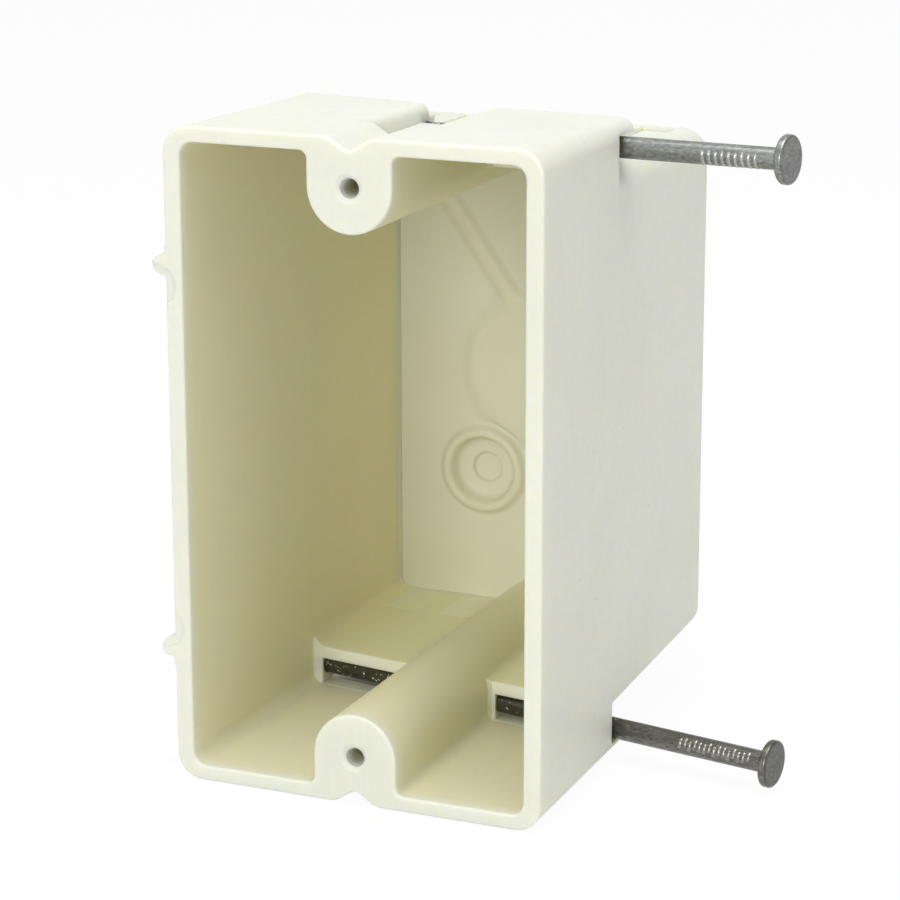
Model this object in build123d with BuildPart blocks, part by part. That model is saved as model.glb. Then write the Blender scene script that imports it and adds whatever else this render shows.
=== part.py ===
from build123d import *
import os
from math import atan2, cos, degrees, hypot, radians, sin, tan

# Single-gang nail-on switch box: a moulded thermoset housing with two captive nails.
# Origin: front rim plane, midway between the two device screw holes.
# +X is to the right of someone who faces the opening, +Y to the back, +Z up.
# Lengths are in millimetres and angles in degrees.

# Housing
width = 58.0
height = 97.7
depth = 73.6
corner_radius = 4.0
lip_corner_radius = 2.0
side_wall = 2.65
end_wall = 2.3
back_wall = 2.5
inner_corner_radius = 2.0
draft = 1.5
core_draft = 0.8
rim_round = 0.4
back_round = 0.6

# Rear part, set in from the top and the bottom behind the nails
rear_inset = 6.1
rear_end_wall = 2.4
step_y = 35.0

# Lips: the top and bottom walls reach back over the nails
lip_left_y = 42.6
lip_middle_y = 38.9
lip_right_y = 37.7
lip_round = 0.6

# Device screw bosses: the inset from the top and the bottom puts the holes 83.34 apart, the standard
screw_inset = 7.18
screw_hole = 2.9
screw_hole_depth = 25.0
screw_hole_tip = 0.9
screw_hole_tip_flat = 0.6
countersink = 4.3
countersink_angle = 120.0
boss_radius = 6.5
boss_root = 1.2

# Grooves outside the bosses: a shallow V at the rim and a deep slot further back
groove_half = 3.3
groove_depth = 2.1
groove_bottom_round = 0.9
groove_shoulder = 3.0
slot_half = 4.9
slot_depth = 3.5
slot_y = 15.4
slot_round = 1.6

# Nails
nail_diameter = 3.2
nail_length = 82.55
nail_head = 7.1
nail_head_thickness = 1.3
nail_head_round = 0.4
nail_point = 4.6
nail_point_flat = 0.35
nail_tilt = 8.33
nail_splay = 1.13
nail_stand_out = 25.6
nail_behind_step = 2.24
nail_lip_gap = 0.25

# Guides that carry the nails: one each side of each boss and one in the stud-side wall
nail_clearance = 0.06
guide_width = 3.0
guide_back = 2.55
stud_guide_width = 1.7

# Gauge nibs on the stud side, with a round moulding mark beside each
nib_z = 28.6
nib_proud = 2.1
nib_radius = 1.45
nib_root = 0.6
nib_length = 12.7
mark_radius = 3.15
mark_out = 1.5
mark_drop = 2.95
mark_depth = 0.35

# Relief inside the back wall
pad_radius = 12.1
pad_height = 0.6
pad_slope = 50.0
rib_width = 2.7
rib_corner_inset = 1.6
rib_foot_z = 5.0
rib_root = 1.5
ring_x = -9.6
ring_z = -17.4
ring_radius = 7.25
ring_height = 0.9
ring_round = 0.8
cup_radius = 5.4
cup_depth = 2.1
cup_round = 1.0
disc_radius = 2.6
disc_depth = 0.8
disc_round = 0.3

# Thin cable knockouts in the top and the bottom of the rear part
knockout_web = 0.85
knockout_width = 5.6
knockout_length = 11.0
knockout_inner_x = 10.2
knockout_outer_x = 19.8

# Values that follow from the sizes above
taper = tan(radians(draft))
core_taper = tan(radians(core_draft))
slant = tan(radians(nail_tilt))
inner_depth = depth - back_wall
screw_z = height / 2 - screw_inset
core_half_width = width / 2 - side_wall
core_half_height = height / 2 - end_wall
lip_z = core_half_height - core_taper * step_y
lip_ends = (
    (-width / 2, lip_left_y),
    (-slot_half, lip_middle_y),
    (slot_half, lip_middle_y),
    (width / 2, lip_right_y),
)
rear_half = height / 2 - rear_inset
rear_core_half = rear_half - rear_end_wall
nail_y = step_y + nail_behind_step
nail_z = lip_z - nail_lip_gap - nail_diameter / 2 - width / 2 * tan(radians(nail_splay))
head_reach = width / 2 / cos(radians(nail_tilt)) + nail_stand_out
tip_reach = head_reach - nail_length
front_length = nail_y + guide_back + slant * width
web_x = slot_half + guide_width
stud_guide_x = stud_guide_width - core_half_width + taper * step_y
corner_fade = (corner_radius - lip_corner_radius) / lip_middle_y
ring_top_y = inner_depth - ring_height
cup_floor_y = ring_top_y + cup_depth
rib_top_x = taper * inner_depth - core_half_width + rib_corner_inset
rib_top_z = rear_core_half - core_taper * inner_depth - rib_corner_inset
knockout_y = inner_depth - knockout_length / 2
knockout_z = rear_core_half - core_taper * knockout_y + knockout_web
knockout_xs = (-knockout_outer_x, -knockout_inner_x, knockout_inner_x, knockout_outer_x)

# How near an edge or a corner must lie to the place where it is looked for
close = 0.01


def section(y, full_width, full_height, radius):
    """A rounded rectangle across the box, y behind the rim."""
    with BuildSketch(Plane.XZ.offset(-y)) as profile:
        RectangleRounded(full_width, full_height, radius)
    return profile.sketch


def rear_section(y):
    """Outline of the rear part y behind the rim, drafted on all four sides."""
    return section(y, width - 2 * taper * y, 2 * (rear_half - taper * y), corner_radius)


def front_section(y):
    """Outline of the front part, drafted alike, its corners sharper further back, a groove over each boss."""
    top = height / 2 - taper * y
    with BuildSketch(Plane.XZ.offset(-y)) as profile:
        RectangleRounded(width - 2 * taper * y, 2 * top, corner_radius - corner_fade * y)
        for side in (1, -1):
            Polygon(
                (-groove_half, side * top),
                (0, side * (top - groove_depth)),
                (groove_half, side * top),
                align=None,
                mode=Mode.SUBTRACT,
            )
        fillet([v for v in profile.vertices() if abs(v.X) < close], groove_bottom_round)
        fillet([v for v in profile.vertices() if abs(abs(v.X) - groove_half) < close], groove_shoulder)
    return profile.sketch


def end_wall_at(y, half_height):
    """Height of the inside of an end wall y behind the rim."""
    return half_height - core_taper * y


def core_section(y, half_height):
    """Outline of the hollow y behind the rim, drafted less at the top and the bottom."""
    full_width = 2 * (core_half_width - taper * y)
    return section(y, full_width, 2 * end_wall_at(y, half_height), inner_corner_radius)


def step_at(x):
    """How far the slanted step lies behind the rim."""
    return step_y - slant * x


def guide_end_at(x):
    """How far the back of a nail guide lies behind the rim."""
    return nail_y + guide_back - slant * x


def behind_step():
    """Everything behind the step, seen from above."""
    return Polygon(
        (-width, step_at(-width)),
        (width, step_at(width)),
        (width, 2 * depth),
        (-width, 2 * depth),
        align=None,
        mode=Mode.PRIVATE,
    )


def lengthwise(edge):
    """Whether an edge runs more from front to back than across."""
    direction = edge.tangent_at(0.5)
    return abs(direction.Y) > max(abs(direction.X), abs(direction.Z))


def boss_outline(side):
    """A screw boss seen from the front, reaching up into the wall."""
    with BuildSketch(Plane.XZ) as outline:
        with Locations((0, side * screw_z)):
            Circle(boss_radius)
        with Locations((0, side * (screw_z + boss_radius))):
            Rectangle(2 * boss_radius, 2 * boss_radius)
    return outline.sketch


def boss_roots(hollow_part, half_height):
    """Edges of a hollow where the bosses leave its end walls."""
    return [
        edge
        for edge in hollow_part.edges()
        if lengthwise(edge)
        and abs(edge.center().X) < boss_radius + close
        and abs(abs(edge.center().Z) - end_wall_at(edge.center().Y, half_height)) < close
    ]


def round_edges(edges, y, radius):
    """Those of the edges that are circles of this radius, y behind the rim."""
    circles = edges.filter_by(GeomType.CIRCLE)
    return [edge for edge in circles if abs(edge.radius - radius) < close and abs(edge.center().Y - y) < close]


def nail_plane(side):
    """Plane across a nail where it crosses the middle of the box, facing the head."""
    direction = (
        cos(radians(nail_splay)) * cos(radians(nail_tilt)),
        -cos(radians(nail_splay)) * sin(radians(nail_tilt)),
        side * sin(radians(nail_splay)),
    )
    return Plane(origin=(0, nail_y, side * nail_z), z_dir=direction)


# Hollow of the rear part
with BuildPart() as rear_hollow:
    loft([core_section(0, rear_core_half), core_section(inner_depth, rear_core_half)])
    for side in (1, -1):
        extrude(boss_outline(side), amount=-depth, mode=Mode.SUBTRACT)
    fillet(boss_roots(rear_hollow, rear_core_half), boss_root)


# Hollow of the housing
with BuildPart() as hollow:
    loft([core_section(0, core_half_height), core_section(front_length, core_half_height)])
    with BuildSketch(Plane.XY.offset(-height)):
        add(behind_step())
    extrude(amount=2 * height, mode=Mode.SUBTRACT)
    for side in (1, -1):
        extrude(boss_outline(side), amount=-depth, mode=Mode.SUBTRACT)
    fillet(boss_roots(hollow, core_half_height), boss_root)
    add(rear_hollow.part)
    # Relief on the back wall: pad with a rib to the upper stud-side corner, and a cupped ring
    with BuildSketch(Plane.XZ.offset(-inner_depth)) as pad:
        Circle(pad_radius)
        with Locations((rib_top_x / 2, (rib_top_z + rib_foot_z) / 2)):
            SlotCenterToCenter(
                hypot(rib_top_x, rib_top_z - rib_foot_z),
                rib_width,
                rotation=degrees(atan2(rib_top_z - rib_foot_z, rib_top_x)),
            )
        joins = [v for v in pad.vertices() if v.X < 0 and abs(hypot(v.X, v.Y) - pad_radius) < close]
        fillet(joins, rib_root)
    extrude(amount=pad_height, taper=pad_slope, mode=Mode.SUBTRACT)
    with BuildSketch(Plane.XZ.offset(-ring_top_y)):
        with Locations((ring_x, ring_z)):
            Circle(ring_radius)
    extrude(amount=-back_wall, mode=Mode.SUBTRACT)
    with BuildSketch(Plane.XZ.offset(-ring_top_y)):
        with Locations((ring_x, ring_z)):
            Circle(cup_radius)
    extrude(amount=-cup_depth)
    with BuildSketch(Plane.XZ.offset(-ring_top_y)):
        with Locations((ring_x, ring_z)):
            Circle(disc_radius)
    extrude(amount=-cup_depth - disc_depth)
    for radius in (ring_radius, cup_radius):
        fillet(round_edges(hollow.edges(), ring_top_y, radius), ring_round)
    fillet(round_edges(hollow.edges(), cup_floor_y, cup_radius), cup_round)
    fillet(round_edges(hollow.edges(), cup_floor_y, disc_radius), disc_round)


# Space behind the step that the nails cross, between the guides and under the lips
with BuildPart() as channel:
    with BuildSketch(Plane.XY.offset(-height)):
        add(behind_step())
        for x0, x1 in ((-width, stud_guide_x), (-web_x, -slot_half), (slot_half, web_x)):
            Polygon(
                (x0, 0),
                (x1, 0),
                (x1, guide_end_at(x1)),
                (x0, guide_end_at(x0)),
                align=None,
                mode=Mode.SUBTRACT,
            )
    extrude(amount=2 * height)
    with BuildSketch(Plane.YZ):
        Polygon(
            (0, -core_half_height),
            (2 * depth, 2 * core_taper * depth - core_half_height),
            (2 * depth, core_half_height - 2 * core_taper * depth),
            (0, core_half_height),
            align=None,
        )
    extrude(amount=width, both=True, mode=Mode.INTERSECT)


# Housing: front part with its lips and nail guides, then the narrower rear part
with BuildPart() as box_body:
    loft([front_section(0), front_section(front_length)])
    add(channel.part, mode=Mode.SUBTRACT)
    for side in (1, -1):
        with BuildSketch(Plane.XY.offset(side * end_wall_at(front_length, core_half_height))):
            Polygon(*lip_ends, (width / 2, 2 * depth), (-width / 2, 2 * depth), align=None)
        extrude(amount=side * height, mode=Mode.SUBTRACT)
    loft([rear_section(0), rear_section(depth)])
    fillet(box_body.edges().group_by(Axis.Y)[-1], back_round)
    add(hollow.part, mode=Mode.SUBTRACT)

    # Deep slot behind each groove, open to the back
    for side in (1, -1):
        with BuildSketch(Plane.XY.offset(side * (height / 2 - slot_depth))):
            with Locations((0, slot_y)):
                Rectangle(2 * slot_half, depth, align=(Align.CENTER, Align.MIN))
        extrude(amount=side * height, mode=Mode.SUBTRACT)
    slot_edges = [
        edge
        for edge in box_body.edges()
        if abs(abs(edge.center().X) - slot_half) < close
        and abs(edge.center().Z) > lip_z
        and lengthwise(edge)
    ]
    fillet(slot_edges, slot_round)

    # Rounded edges: the rim and the back of the lips
    fillet(box_body.faces().sort_by(Axis.Y)[0].edges(), rim_round)
    lip_edges = [
        edge
        for edge in box_body.edges()
        if edge.center().Y > lip_right_y
        and abs(edge.center().Z) > lip_z + lip_round
        and not lengthwise(edge)
    ]
    fillet(lip_edges, lip_round)

    # Gauge nibs on the stud side, flared where they leave the wall
    for side in (1, -1):
        with BuildSketch(Plane.XZ) as nib:
            with Locations((nib_radius - nib_proud - width / 2, side * nib_z)):
                Circle(nib_radius)
                Rectangle(side_wall, 2 * nib_radius, align=(Align.MIN, Align.CENTER))
            with Locations((-width / 2, side * nib_z)):
                Rectangle(side_wall / 2, 4 * nib_radius, align=(Align.MIN, Align.CENTER))
            at_wall = nib.vertices().filter_by_position(Axis.X, -width / 2 - close, -width / 2 + close)
            fillet(at_wall.sort_by(Axis.Y)[1:-1], nib_root)
        extrude(amount=nib_length, dir=(taper, 1, 0))

    # Moulding mark beside each nib
    for side in (1, -1):
        with BuildSketch(Plane.XZ):
            with Locations((-width / 2 - mark_out, side * (nib_z - mark_drop))):
                Circle(mark_radius)
        extrude(amount=-mark_depth, mode=Mode.SUBTRACT)

    # Thin places for cable entry, pocketed from outside
    for side in (1, -1):
        with BuildSketch(Plane.XY.offset(side * knockout_z)):
            with Locations(*[(x, knockout_y) for x in knockout_xs]):
                Rectangle(knockout_width, knockout_length)
        extrude(amount=side * rear_inset, mode=Mode.SUBTRACT)

    # Nail bores through the guides
    for side in (1, -1):
        with BuildSketch(nail_plane(side)):
            Circle(nail_diameter / 2 + nail_clearance)
        extrude(amount=width, both=True, mode=Mode.SUBTRACT)

    # Device screw holes, tapered at the bottom like the core pins that leave them
    with Locations(*[Plane.XZ.location * Location((0, side * screw_z, 0)) for side in (1, -1)]):
        CounterSinkHole(
            screw_hole / 2,
            countersink / 2,
            depth=screw_hole_depth,
            counter_sink_angle=countersink_angle,
        )
        with Locations((0, 0, -screw_hole_depth)):
            Cone(
                screw_hole_tip_flat / 2,
                screw_hole / 2,
                screw_hole_tip,
                align=(Align.CENTER, Align.CENTER, Align.MAX),
                mode=Mode.SUBTRACT,
            )

box_body.part.label = "box_body"


# Upper nail: diamond point, plain shank and flat head
with BuildPart() as upper_nail:
    with BuildSketch(nail_plane(1).offset(tip_reach + nail_point)):
        Rectangle(nail_diameter, nail_diameter)
    with BuildSketch(nail_plane(1).offset(tip_reach)):
        Rectangle(nail_point_flat, nail_point_flat)
    loft()
    with BuildSketch(nail_plane(1).offset(tip_reach)):
        Circle(nail_diameter / 2)
    extrude(amount=nail_point, mode=Mode.INTERSECT)
    with BuildSketch(nail_plane(1).offset(tip_reach + nail_point)):
        Circle(nail_diameter / 2)
    extrude(amount=nail_length - nail_point)
    with BuildSketch(nail_plane(1).offset(head_reach)):
        Circle(nail_head / 2)
    extrude(amount=-nail_head_thickness)
    head_edges = upper_nail.edges().filter_by(GeomType.CIRCLE).sort_by(SortBy.RADIUS)[-2:]
    fillet(head_edges, nail_head_round)

upper_nail.part.label = "upper_nail"


# Lower nail: the upper one mirrored
with BuildPart() as lower_nail:
    mirror(upper_nail.part, about=Plane.XY)

lower_nail.part.label = "lower_nail"


os.makedirs("parts", exist_ok=True)
export_step(box_body.part, "parts/box_body.step")
export_step(upper_nail.part, "parts/upper_nail.step")
export_step(lower_nail.part, "parts/lower_nail.step")
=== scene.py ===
import math

import bmesh
import bpy
from mathutils import Matrix, Vector


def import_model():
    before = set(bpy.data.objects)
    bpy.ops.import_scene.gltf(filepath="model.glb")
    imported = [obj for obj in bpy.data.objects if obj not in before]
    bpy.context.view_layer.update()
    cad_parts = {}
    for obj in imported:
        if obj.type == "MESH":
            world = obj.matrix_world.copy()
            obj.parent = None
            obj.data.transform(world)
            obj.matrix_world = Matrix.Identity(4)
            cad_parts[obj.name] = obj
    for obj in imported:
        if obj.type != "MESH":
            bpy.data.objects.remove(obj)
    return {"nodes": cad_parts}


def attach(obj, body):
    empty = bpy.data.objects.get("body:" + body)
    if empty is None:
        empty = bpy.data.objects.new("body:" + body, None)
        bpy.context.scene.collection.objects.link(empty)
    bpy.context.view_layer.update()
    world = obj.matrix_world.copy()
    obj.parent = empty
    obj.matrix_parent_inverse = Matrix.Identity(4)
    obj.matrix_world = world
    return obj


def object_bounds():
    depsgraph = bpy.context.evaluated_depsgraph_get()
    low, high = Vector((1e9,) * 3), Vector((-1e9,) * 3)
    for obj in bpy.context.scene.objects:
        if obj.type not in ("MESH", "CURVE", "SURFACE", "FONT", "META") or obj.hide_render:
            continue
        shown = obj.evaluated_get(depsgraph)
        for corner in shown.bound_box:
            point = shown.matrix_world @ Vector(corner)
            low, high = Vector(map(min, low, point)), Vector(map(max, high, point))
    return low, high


# Lengths are in millimetres in the frame, and angles in degrees, where nothing else is said.
MM = 0.001

# Camera, solved from the photograph's edges (places in metres)
CAMERA_AT = (0.17830, -0.37391, 0.11646)
CAMERA_YAW = 23.565
CAMERA_PITCH = 15.135
CAMERA_ROLL = -0.090
CAMERA_LENS = 122.0
CAMERA_SENSOR = 36.0
CAMERA_CLIP = (0.01, 20.0)

# Lamps: name, place, size (metres) and power (watts); all face one point
LAMP_AIM = (0, 0.03, 0)
LAMPS = (
    ("overhead", (0.05, -0.1, 0.9), 0.7, 6.1),
    ("front", (-0.06, -0.90, 0.30), 0.35, 2.98),
    ("right", (0.90, -0.15, 0.25), 0.6, 0.84),
)

# White surroundings, and the weaker light that they give
WHITE_STRENGTH = 1.0
FILL_STRENGTH = 0.50
FLOOR_WHITE = 0.95
FLOOR_COLOUR = (0.92, 0.92, 0.91, 1)
FLOOR_HALF_SIZE = 3.0
FLOOR_DROP = 0.0001
# Painted shadow: darker floor under the box, so that no white shows through the windows: limits
# from 0 to 1
UNDER_SHADOW_COLOUR = (0.38, 0.37, 0.34, 1)
UNDER_LEFT = (-34.0, -28.0)
UNDER_RIGHT = (20.0, 16.0)
UNDER_FRONT = (4.0, 12.0)
UNDER_REAR = (58.0, 50.0)

# Nails, as in the solids
NAIL_TILT = 8.33
NAIL_SPLAY = 1.13
NAIL_Y = 37.24
NAIL_Z = 43.66
NAIL_RADIUS = 1.6
NAIL_INSIDE = (28.0, 31.0)
HEAD_FACE = (54.6, 54.8)

# Ridges on the nails
RIDGE_HALF = 0.34
RIDGE_SINK = 0.03
RIDGE_STEPS = (-1.0, -0.5, 0.0, 0.5, 1.0)
RIDGE_TURN_STEPS = 12
RIDGE_PHASE = 2.4

# Screw threads in the device holes
SCREW_Z = 41.67
HOLE_RADIUS = 1.46
THREAD_START = 0.8
THREAD_PITCH = 0.794
THREAD_HALF = 0.3
THREAD_CREST = 0.2
THREAD_TURNS = 12
THREAD_STEPS = 36

# Soft bead and bowl over the ring inside the back (radius, then Y)
RING_X = -9.6
RING_Z = -17.4
RING_PROFILE = (
    (8.80, 71.06), (8.30, 71.05), (7.95, 71.02), (7.65, 70.93), (7.35, 70.70), (7.12, 70.36),
    (6.90, 70.06), (6.65, 69.90), (6.35, 69.84), (6.05, 69.84), (5.80, 69.92), (5.58, 70.18),
    (5.40, 70.56), (5.26, 71.02), (5.08, 71.52), (4.82, 71.86), (4.45, 72.10), (4.00, 72.21),
    (3.40, 72.26), (2.95, 72.28), (2.75, 72.28), (2.62, 72.31), (2.52, 72.42), (2.46, 72.62),
    (2.40, 72.84), (2.28, 72.98), (2.05, 73.04), (0.02, 73.05),
)
TURN_STEPS = 96

# Soft skin over the inside of the back, with its pad and rib (points are X, Z)
PAD_RADIUS = 12.1
PAD_FLANK = (-2.0, 1.2)
RIB_HALF = 1.35
RIB_FLANK = (-1.0, 0.8)
RIB_FOOT = Vector((0.0, 5.0))
RIB_TOP = Vector((-22.89, 37.76))
RING_GAP = 7.9
RING_CLEAR = (7.6, 8.8)
SKIN_X = (-24.8, 24.8)
SKIN_Z = (-39.6, 39.6)
SKIN_STEP = 0.4
SKIN_WALL = 71.07
SKIN_RISE = 0.95

# Limits of the zones that get painted light: across is |X|, upright is |Z|, slanted is Y along the
# nails' tilt
TAPER_Y = (0.0, 70.0)
STEP_SLANTED = (34.7, 35.4)
STEP_UPRIGHT = (38.6, 47.0)
STEP_ACROSS = (7.4, 26.0)
FRONT_UPRIGHT = (46.9, 45.9)
FRONT_SLANTED = 41.0
REAR_UPRIGHT = (40.6, 39.6)
SIDE_ACROSS = (27.0, 25.2)
GROOVE_UPRIGHT = 44.0
GROOVE_ACROSS = 5.4
INNER_START_Y = (0.4, 3.0)
INNER_END_Y = (68.0, 70.5)
INNER_END_SHARE = 0.15
LEVEL_SIDE = (25.0, 22.5)
LEVEL_BOSS = (6.5, 9.5)
LEVEL_UPRIGHT = (36.8, 38.8)
LEVEL_END_Y = 70.7
ENTRY_INNER = (7.4, 13.0)
ENTRY_OUTER = (17.0, 22.6)
ENTRY_Y = (60.1, 70.8)
BACK_Y = (69.8, 73.2)
BACK_ACROSS = 25.0
BACK_UPRIGHT = 39.6
BACK_FADE_Z = (10.0, -30.0)
PAINTED_GLOW_Y = (40.0, 66.0)

# Colours of the moulding compound, and the painted light and shade mixed into it, with their shares
IVORY_DARK = (0.770, 0.785, 0.695, 1)
IVORY_LIGHT = (0.800, 0.815, 0.730, 1)
MOTTLE_COLOUR = (0.745, 0.75, 0.63, 1)
STREAK_COLOUR = (0.84, 0.85, 0.79, 1)
SPECK_COLOUR = (0.40, 0.36, 0.25, 1)
# Painted light: a warm glow mixed into the insides of the walls
PAINTED_GLOW_FRONT = (0.800, 0.745, 0.440, 1)
PAINTED_GLOW_REAR = (0.900, 0.840, 0.500, 1)
PAINTED_GLOW_SHARE = 0.6
# Painted light: a lighter, warmer back wall, stronger towards the bottom
BACK_PAINTED_LIGHT, BACK_PAINTED_SHARE = (0.950, 0.930, 0.770, 1), 0.6
# Painted light: paler step faces
STEP_PAINTED_LIGHT, STEP_PAINTED_SHARE = (1.000, 0.980, 0.780, 1), 0.8
# Painted light: a lighter, yellower rear floor and ceiling
LEVEL_PAINTED_LIGHT, LEVEL_PAINTED_SHARE = (0.970, 0.930, 0.620, 1), 0.8
# Painted glow: the thin entries lighter, as if light shone through them
ENTRY_PAINTED_GLOW, ENTRY_GLOW_SHARE = (1.000, 0.985, 0.720, 1), 0.9
# Painted shade: this colour darkens and warms the relief pieces' copy of the compound
SHADE_OCHRE = (0.70, 0.66, 0.05, 1)

# Light in the compound, edges and grain (metres)
GLOW_RADIUS = (1.0, 0.85, 0.40)
GLOW_SCALE = 0.0018
EDGE_ROUND = 0.00025
GRAIN_HEIGHT = 0.00002
GRAIN_STRENGTH = 0.5
COMPOUND_IOR = 1.5

# Painted shade on the nails where they are in the box, darker heads' faces, and chips of compound
NAIL_PAINTED_SHADE, NAIL_SHADE_SHARE = (0.06, 0.06, 0.06, 1), 0.55
FACE_COLOUR, FACE_SHARE = (0.05, 0.05, 0.05, 1), 0.45
CHIP_COLOUR = (0.80, 0.80, 0.76, 1)

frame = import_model()
cad_low, cad_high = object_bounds()
scene = bpy.context.scene
scene.view_settings.view_transform = "Standard"


class Nodes:
    """Short calls for building a material's node tree."""

    def __init__(self, name):
        self.material = bpy.data.materials.new(name)
        self.material.use_nodes = True
        self.tree = self.material.node_tree
        self.tree.nodes.clear()

    def add(self, kind, **settings):
        node = self.tree.nodes.new(kind)
        for key, value in settings.items():
            setattr(node, key, value)
        return node

    def set(self, socket, value):
        """Links a socket to another one, or gives it a constant."""
        if isinstance(value, bpy.types.NodeSocket):
            self.tree.links.new(value, socket)
        else:
            socket.default_value = value

    def coords(self):
        """The surface point in the frame, in millimetres."""
        where = self.add("ShaderNodeTexCoord")
        scaled = self.add("ShaderNodeVectorMath", operation="SCALE")
        self.set(scaled.inputs[0], where.outputs["Object"])
        self.set(scaled.inputs["Scale"], 1 / MM)
        return scaled.outputs[0]

    def stretch(self, vector, factors):
        scaled = self.add("ShaderNodeVectorMath", operation="MULTIPLY")
        self.set(scaled.inputs[0], vector)
        self.set(scaled.inputs[1], factors)
        return scaled.outputs[0]

    def noise(self, vector, scale, detail=2.0, roughness=0.5):
        node = self.add("ShaderNodeTexNoise")
        self.set(node.inputs["Vector"], vector)
        self.set(node.inputs["Scale"], scale)
        self.set(node.inputs["Detail"], detail)
        self.set(node.inputs["Roughness"], roughness)
        return node.outputs["Fac"]

    def span(self, value, low, high, out_low=0.0, out_high=1.0):
        """Maps low..high to out_low..out_high, clamped."""
        node = self.add("ShaderNodeMapRange")
        self.set(node.inputs["Value"], value)
        self.set(node.inputs["From Min"], low)
        self.set(node.inputs["From Max"], high)
        self.set(node.inputs["To Min"], out_low)
        self.set(node.inputs["To Max"], out_high)
        return node.outputs["Result"]

    def math(self, operation, a, b=0.0):
        node = self.add("ShaderNodeMath", operation=operation)
        self.set(node.inputs[0], a)
        self.set(node.inputs[1], b)
        return node.outputs[0]

    def below(self, value, limit):
        """1 where a value is less than a limit."""
        return self.math("LESS_THAN", value, limit)

    def above(self, value, limit):
        """1 where a value is more than a limit."""
        return self.math("GREATER_THAN", value, limit)

    def either(self, a, b):
        """The larger of two masks."""
        return self.math("MAXIMUM", a, b)

    def inverse(self, mask):
        return self.math("SUBTRACT", 1.0, mask)

    def every(self, first, *others):
        """The product of masks."""
        for other in others:
            first = self.math("MULTIPLY", first, other)
        return first

    def window(self, value, low, high):
        """1 where a value lies between two limits."""
        return self.every(self.above(value, low), self.below(value, high))

    def mix(self, factor, a, b):
        node = self.add("ShaderNodeMix", data_type="RGBA")
        self.set(node.inputs["Factor"], factor)
        self.set(node.inputs["A"], a)
        self.set(node.inputs["B"], b)
        return node.outputs["Result"]

    def tint(self, base, mask, share, colour):
        """Mixes a share of a colour into the base where a mask is 1."""
        return self.mix(self.math("MULTIPLY", mask, share), base, colour)

    def bump(self, height, normal=None):
        """Fine grain in the surface."""
        node = self.add("ShaderNodeBump")
        self.set(node.inputs["Height"], height)
        self.set(node.inputs["Distance"], GRAIN_HEIGHT)
        self.set(node.inputs["Strength"], GRAIN_STRENGTH)
        if normal is not None:
            self.set(node.inputs["Normal"], normal)
        return node.outputs["Normal"]

    def split(self, vector):
        node = self.add("ShaderNodeSeparateXYZ")
        self.set(node.inputs[0], vector)
        return node.outputs

    def turn(self, vector, angle):
        """Turns a vector about the frame's Z."""
        node = self.add("ShaderNodeVectorRotate", rotation_type="Z_AXIS")
        self.set(node.inputs["Vector"], vector)
        self.set(node.inputs["Angle"], math.radians(angle))
        return node.outputs["Vector"]

    def soft_edges(self, radius):
        """Normals rounded over at the sharp edges."""
        node = self.add("ShaderNodeBevel", samples=4)
        self.set(node.inputs["Radius"], radius)
        return node.outputs["Normal"]

    def finish(self, **sockets):
        shader = self.add("ShaderNodeBsdfPrincipled")
        for key, value in sockets.items():
            self.set(shader.inputs[key.replace("_", " ")], value)
        out = self.add("ShaderNodeOutputMaterial")
        self.set(out.inputs["Surface"], shader.outputs[0])
        return self.material


def zones(n, at):
    """Masks for painted light: insides of the walls, step faces, rear floor and ceiling, thin
    entries, lower back.
    """
    x, y, z = n.split(at)[:3]
    across = n.math("ABSOLUTE", x)
    upright = n.math("ABSOLUTE", z)
    slant = math.tan(math.radians(NAIL_TILT))
    slanted = n.math("ADD", y, n.math("MULTIPLY", x, slant))
    step = n.every(
        n.window(slanted, *STEP_SLANTED),
        n.window(upright, *STEP_UPRIGHT),
        n.window(across, *STEP_ACROSS),
    )
    front = n.below(upright, n.span(y, *TAPER_Y, *FRONT_UPRIGHT))
    front = n.every(front, n.below(slanted, FRONT_SLANTED))
    rear = n.below(upright, n.span(y, *TAPER_Y, *REAR_UPRIGHT))
    between = n.below(across, n.span(y, *TAPER_Y, *SIDE_ACROSS))
    clear = n.either(n.below(upright, GROOVE_UPRIGHT), n.above(across, GROOVE_ACROSS))
    deep = n.every(n.span(y, *INNER_START_Y), n.span(y, *INNER_END_Y, 1.0, INNER_END_SHARE))
    inner = n.every(n.either(front, rear), between, clear, deep, n.inverse(step))
    middle = n.every(n.span(across, *LEVEL_SIDE), n.span(across, *LEVEL_BOSS))
    level = n.every(
        rear,
        n.span(upright, *LEVEL_UPRIGHT),
        n.above(slanted, STEP_SLANTED[1]),
        middle,
        n.below(y, LEVEL_END_Y),
    )
    columns = n.math("ADD", n.window(across, *ENTRY_INNER), n.window(across, *ENTRY_OUTER))
    entries = n.every(level, columns, n.window(y, *ENTRY_Y))
    back = n.every(
        n.window(y, *BACK_Y),
        n.below(across, BACK_ACROSS),
        n.below(upright, BACK_UPRIGHT),
        n.span(z, *BACK_FADE_Z),
    )
    return inner, step, level, entries, back


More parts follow.
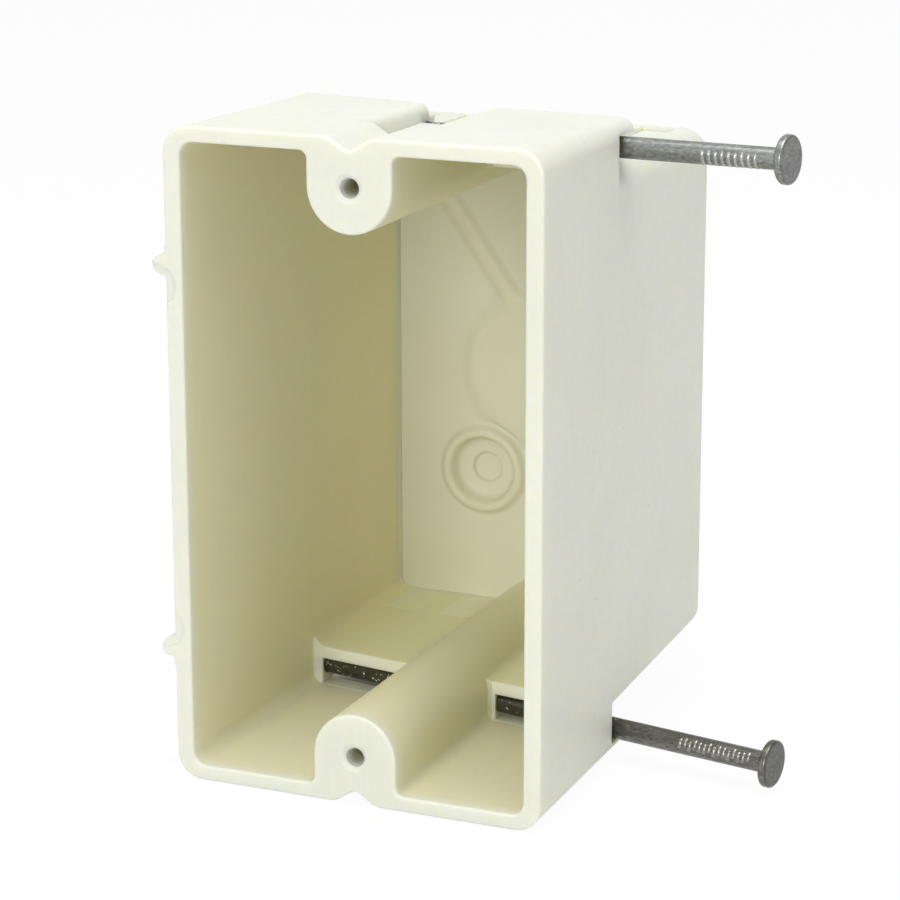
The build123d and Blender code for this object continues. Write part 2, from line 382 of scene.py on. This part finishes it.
def thermoset(name, glow, shade_share):
    """Ivory glass-fibre compound: mottle, flow streaks, a few specks, and painted light: a warm
    glow inside the box, and lighter step faces, rear floor, ceiling, thin entries and lower back.

    glow is the share of the light that passes through it, and the last argument the share of a
    darker, warmer colour mixed in as painted shade.
    """
    n = Nodes(name)
    at = n.coords()
    cloud = n.noise(at, 0.06, 3.0)
    mottle = n.noise(at, 0.8, 3.0, 0.6)
    streak = n.noise(n.stretch(at, (2.2, 2.2, 0.12)), 1.0, 2.0)
    speck = n.noise(at, 1.1, 1.0)
    base = n.mix(n.span(cloud, 0.35, 0.65), IVORY_DARK, IVORY_LIGHT)
    base = n.mix(n.span(mottle, 0.3, 0.7, 0.0, 0.35), base, MOTTLE_COLOUR)
    base = n.mix(n.span(streak, 0.5, 0.8, 0.0, 0.25), base, STREAK_COLOUR)
    base = n.mix(n.span(speck, 0.78, 0.82, 0.0, 0.4), base, SPECK_COLOUR)
    inner, step, level, entries, back = zones(n, at)
    # Painted light: warm glow inside the walls, and lighter lower back, step faces, rear floor,
    # ceiling and thin entries
    painted_glow = n.mix(n.span(n.split(at)[1], *PAINTED_GLOW_Y), PAINTED_GLOW_FRONT, PAINTED_GLOW_REAR)
    base = n.tint(base, inner, PAINTED_GLOW_SHARE, painted_glow)
    base = n.tint(base, back, BACK_PAINTED_SHARE, BACK_PAINTED_LIGHT)
    base = n.tint(base, step, STEP_PAINTED_SHARE, STEP_PAINTED_LIGHT)
    base = n.tint(base, level, LEVEL_PAINTED_SHARE, LEVEL_PAINTED_LIGHT)
    base = n.tint(base, entries, ENTRY_GLOW_SHARE, ENTRY_PAINTED_GLOW)
    # Painted shade: a darker, warmer copy for the relief pieces
    base = n.mix(shade_share, base, SHADE_OCHRE)
    return n.finish(
        Base_Color=base,
        Roughness=n.span(mottle, 0.3, 0.7, 0.42, 0.55),
        Normal=n.bump(mottle, n.soft_edges(EDGE_ROUND)),
        Subsurface_Weight=glow,
        Subsurface_Radius=GLOW_RADIUS,
        Subsurface_Scale=GLOW_SCALE,
        IOR=COMPOUND_IOR,
    )


def steel(name, dull, bright):
    """Drawn wire: grey and finely mottled, with painted shade and chips of compound inside the box,
    and darker on the heads' faces.
    """
    n = Nodes(name)
    at = n.turn(n.coords(), NAIL_TILT)
    along = n.math("ADD", n.split(at)[0], NAIL_Y * math.sin(math.radians(NAIL_TILT)))
    inside = n.span(n.math("ABSOLUTE", along), *NAIL_INSIDE, 1.0, 0.0)
    mottle = n.noise(n.stretch(at, (1.1, 3.0, 3.0)), 1.0, 3.0, 0.6)
    patch = n.noise(n.stretch(at, (0.4, 1.0, 1.0)), 0.7, 3.0)
    chip = n.every(n.span(n.noise(at, 1.8, 2.0), 0.665, 0.705), inside)
    base = n.mix(n.span(mottle, 0.30, 0.70), dull, bright)
    base = n.mix(n.span(patch, 0.48, 0.70, 0.0, 0.5), base, dull)
    # Painted shade where the nails run inside the box
    base = n.tint(base, inside, NAIL_SHADE_SHARE, NAIL_PAINTED_SHADE)
    base = n.mix(n.span(along, *HEAD_FACE, 0.0, FACE_SHARE), base, FACE_COLOUR)
    base = n.mix(chip, base, CHIP_COLOUR)
    return n.finish(
        Base_Color=base,
        Metallic=n.inverse(chip),
        Roughness=n.span(mottle, 0.3, 0.7, 0.38, 0.26),
        Normal=n.bump(mottle),
    )


def paint(obj, material):
    """Gives an object this material alone."""
    obj.data.materials.clear()
    obj.data.materials.append(material)


ivory = thermoset("ivory_thermoset", glow=0.75, shade_share=0.0)
# The relief pieces' copy lets no light through and carries painted shade
ivory_relief = thermoset("ivory_relief", glow=0.0, shade_share=0.08)
wire = steel("bright_wire", (0.19, 0.197, 0.19, 1), (0.44, 0.453, 0.436, 1))
# Painted highlight: the ridges are brighter copies of their nail's wire
highlit_ridges = steel("painted_highlight_ridges", (0.36, 0.364, 0.353, 1), (0.56, 0.564, 0.552, 1))
# Painted shade: the lower nail and its ridges are darker copies of the wire
shaded_wire = steel("shaded_wire", (0.10, 0.0975, 0.0865, 1), (0.235, 0.23, 0.205, 1))
shaded_ridges_with_highlight = steel("shaded_ridges_with_highlight", (0.18, 0.178, 0.165, 1), (0.40, 0.396, 0.377, 1))
node_materials = {"box_body": ivory, "upper_nail": wire, "lower_nail": shaded_wire}
for name, node in frame["nodes"].items():
    paint(node, node_materials[name])


def piece(name, verts, faces, material, body):
    """A mesh in millimetres that rides a body."""
    mesh = bpy.data.meshes.new(name)
    mesh.from_pydata([Vector(v) * MM for v in verts], [], faces)
    mesh.validate()
    obj = bpy.data.objects.new(name, mesh)
    scene.collection.objects.link(obj)
    paint(obj, material)
    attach(obj, body)
    return obj


def strip(rows):
    """Faces that join neighbouring rows of equal length."""
    size = len(rows[0])
    verts = [v for row in rows for v in row]
    faces = [
        (r * size + k, r * size + k + 1, (r + 1) * size + k + 1, (r + 1) * size + k)
        for r in range(len(rows) - 1)
        for k in range(size - 1)
    ]
    return verts, faces


def nail_axes(side):
    """Where a nail crosses the middle of the box, its direction, and front and up across it."""
    tilt, splay = math.radians(NAIL_TILT), math.radians(NAIL_SPLAY)
    along = Vector((
        math.cos(splay) * math.cos(tilt),
        -math.cos(splay) * math.sin(tilt),
        side * math.sin(splay),
    ))
    up = Vector((0, 0, 1))
    up = (up - along * up.dot(along)).normalized()
    return Vector((0, NAIL_Y, side * NAIL_Z)), along, along.cross(up), up


def gripper_marks(
    name, side, body, material, first, pitch, count, middle, half, wander, height
):
    """Ridges that the heading die leaves across a nail, behind its head; they fade at both ends."""
    start, along, front, up = nail_axes(side)
    for i in range(count):
        at = start + along * (first + pitch * i)
        shift = wander * math.sin(RIDGE_PHASE * i)
        rows = []
        for k in range(RIDGE_TURN_STEPS + 1):
            share = 2 * k / RIDGE_TURN_STEPS - 1
            angle = math.radians(middle + shift + half * share)
            out = front * math.cos(angle) + up * math.sin(angle)
            rise = height * (1 - share ** 4) + RIDGE_SINK
            foot = NAIL_RADIUS - RIDGE_SINK
            rows.append([
                at + along * (RIDGE_HALF * t) + out * (foot + rise * (1 - t * t))
                for t in RIDGE_STEPS
            ])
        verts, faces = strip(rows)
        ridge = piece(f"{name}_{i}", verts, faces, material, body)
        ridge.data.shade_smooth()


def turned(name, profile, x, z, material, body):
    """A smooth surface of revolution about a line along Y, from (radius, y) points."""
    rows = []
    for k in range(TURN_STEPS + 1):
        angle = 2 * math.pi * k / TURN_STEPS
        out = Vector((math.cos(angle), 0, math.sin(angle)))
        rows.append([Vector((x, y, z)) + out * radius for radius, y in profile])
    verts, faces = strip(rows)
    obj = piece(name, verts, faces, material, body)
    obj.data.shade_smooth()


def ease(value, low, high):
    """0 below low, 1 above high, and smooth between them."""
    share = min(max((value - low) / (high - low), 0.0), 1.0)
    return share * share * (3 - 2 * share)


def relief(x, z):
    """Share of the full height that the soft pad and rib have at a point of the back wall."""
    at = Vector((x, z))
    line = RIB_TOP - RIB_FOOT
    share = min(max((at - RIB_FOOT).dot(line) / line.length_squared, 0.0), 1.0)
    pad = ease(PAD_RADIUS - at.length, *PAD_FLANK)
    rib = ease(RIB_HALF - (at - RIB_FOOT - line * share).length, *RIB_FLANK)
    clear = ease((at - Vector((RING_X, RING_Z))).length, *RING_CLEAR)
    return (pad + rib - pad * rib) * clear


def back_skin(name, material, body):
    """Inside of the back wall in one sheet: the soft pad and rib, and a gap where the ring is."""
    columns, lines = (round((high - low) / SKIN_STEP) + 1 for low, high in (SKIN_X, SKIN_Z))
    rows = []
    for r in range(lines):
        z = SKIN_Z[0] + SKIN_STEP * r
        xs = [SKIN_X[0] + SKIN_STEP * k for k in range(columns)]
        rows.append([Vector((x, SKIN_WALL - SKIN_RISE * relief(x, z), z)) for x in xs])
    verts, faces = strip(rows)
    ring = Vector((RING_X, SKIN_WALL, RING_Z))
    faces = [face for face in faces if all((verts[i] - ring).length > RING_GAP for i in face)]
    used = sorted({i for face in faces for i in face})
    place = {i: k for k, i in enumerate(used)}
    faces = [[place[i] for i in face] for face in faces]
    obj = piece(name, [verts[i] for i in used], faces, material, body)
    obj.data.shade_smooth()


def thread(name, side):
    """Crests of a screw thread inside a device hole."""
    half = Vector((0, THREAD_HALF, 0))
    rows = []
    for k in range(THREAD_TURNS * THREAD_STEPS + 1):
        angle = 2 * math.pi * k / THREAD_STEPS
        y = THREAD_START + THREAD_PITCH * k / THREAD_STEPS
        out = Vector((math.cos(angle), 0, math.sin(angle)))
        middle = Vector((0, y, side * SCREW_Z))
        rows.append([
            middle + out * HOLE_RADIUS - half,
            middle + out * (HOLE_RADIUS - THREAD_CREST),
            middle + out * HOLE_RADIUS + half,
        ])
    verts, faces = strip(rows)
    piece(name, verts, faces, ivory, "box")


gripper_marks(
    "upper_ridge", 1, "upper_nail", highlit_ridges,
    first=41.6, pitch=1.03, count=9, middle=-30, half=55, wander=3, height=0.15,
)
gripper_marks(
    "lower_ridge", -1, "lower_nail", shaded_ridges_with_highlight,
    first=39.9, pitch=0.8, count=15, middle=24, half=30, wander=10, height=0.11,
)
thread("upper_thread", 1)
thread("lower_thread", -1)
turned("ring_relief", RING_PROFILE, RING_X, RING_Z, ivory_relief, "box")
back_skin("back_relief", ivory_relief, "box")


def floor_material():
    """White to the camera and in reflections, but for the shadow and the place under the box, where
    a shadow is painted.
    """
    n = Nodes("pale_floor")
    x, y = n.split(n.coords())[:2]
    under = n.every(
        n.span(x, *UNDER_LEFT),
        n.span(x, *UNDER_RIGHT),
        n.span(y, *UNDER_FRONT),
        n.span(y, *UNDER_REAR),
    )
    rays = n.add("ShaderNodeLightPath")
    seen = n.either(rays.outputs["Is Camera Ray"], rays.outputs["Is Glossy Ray"])
    seen = n.either(seen, rays.outputs["Is Transmission Ray"])
    matt = n.add("ShaderNodeBsdfDiffuse")
    # Painted shadow: a darker colour under the box
    n.set(matt.inputs["Color"], n.mix(under, FLOOR_COLOUR, UNDER_SHADOW_COLOUR))
    white = n.add("ShaderNodeEmission")
    n.set(white.inputs["Color"], (1, 1, 1, 1))
    n.set(white.inputs["Strength"], WHITE_STRENGTH)
    both = n.add("ShaderNodeMixShader")
    n.set(both.inputs[0], n.every(seen, n.inverse(under), FLOOR_WHITE))
    n.set(both.inputs[1], matt.outputs[0])
    n.set(both.inputs[2], white.outputs[0])
    out = n.add("ShaderNodeOutputMaterial")
    n.set(out.inputs["Surface"], both.outputs[0])
    return n.material


def floor():
    """Flat floor just under the box."""
    mesh = bpy.data.meshes.new("floor")
    bm = bmesh.new()
    bmesh.ops.create_grid(bm, x_segments=1, y_segments=1, size=FLOOR_HALF_SIZE)
    bm.to_mesh(mesh)
    bm.free()
    obj = bpy.data.objects.new("floor", mesh)
    obj.location.z = cad_low.z - FLOOR_DROP
    scene.collection.objects.link(obj)
    paint(obj, floor_material())


def world():
    """White to the camera and in reflections, and a weaker fill light for the rest."""
    made = bpy.data.worlds.new("studio")
    made.use_nodes = True
    tree = made.node_tree
    tree.nodes.clear()
    rays = tree.nodes.new("ShaderNodeLightPath")
    white = tree.nodes.new("ShaderNodeBackground")
    white.inputs["Strength"].default_value = WHITE_STRENGTH
    fill = tree.nodes.new("ShaderNodeBackground")
    fill.inputs["Strength"].default_value = FILL_STRENGTH
    mix = tree.nodes.new("ShaderNodeMixShader")
    seen = rays.outputs["Is Camera Ray"]
    for kind in ("Is Glossy Ray", "Is Transmission Ray"):
        either = tree.nodes.new("ShaderNodeMath")
        either.operation = "MAXIMUM"
        tree.links.new(seen, either.inputs[0])
        tree.links.new(rays.outputs[kind], either.inputs[1])
        seen = either.outputs[0]
    tree.links.new(seen, mix.inputs[0])
    tree.links.new(fill.outputs[0], mix.inputs[1])
    tree.links.new(white.outputs[0], mix.inputs[2])
    out = tree.nodes.new("ShaderNodeOutputWorld")
    tree.links.new(mix.outputs[0], out.inputs["Surface"])
    scene.world = made


def lamp(name, at, size, power):
    """Square area lamp that faces the aim."""
    data = bpy.data.lights.new(name, "AREA")
    data.shape = "SQUARE"
    data.size = size
    data.energy = power
    obj = bpy.data.objects.new(name, data)
    obj.location = at
    obj.rotation_mode = "QUATERNION"
    obj.rotation_quaternion = (Vector(LAMP_AIM) - Vector(at)).to_track_quat("-Z", "Y")
    scene.collection.objects.link(obj)


def camera():
    """The photograph's camera."""
    yaw, pitch, roll = (math.radians(a) for a in (CAMERA_YAW, CAMERA_PITCH, CAMERA_ROLL))
    right = Vector((math.cos(yaw), math.sin(yaw), 0))
    ahead = Vector((
        -math.sin(yaw) * math.cos(pitch),
        math.cos(yaw) * math.cos(pitch),
        -math.sin(pitch),
    ))
    rolled = right * math.cos(roll) + right.cross(ahead) * math.sin(roll)
    data = bpy.data.cameras.new("camera")
    data.lens = CAMERA_LENS
    data.sensor_width = CAMERA_SENSOR
    data.clip_start, data.clip_end = CAMERA_CLIP
    obj = bpy.data.objects.new("camera", data)
    axes = Matrix((rolled, rolled.cross(ahead), -ahead)).transposed().to_4x4()
    obj.matrix_world = Matrix.Translation(CAMERA_AT) @ axes
    scene.collection.objects.link(obj)
    scene.camera = obj


floor()
world()
camera()
for name, at, size, power in LAMPS:
    lamp(name, at, size, power)
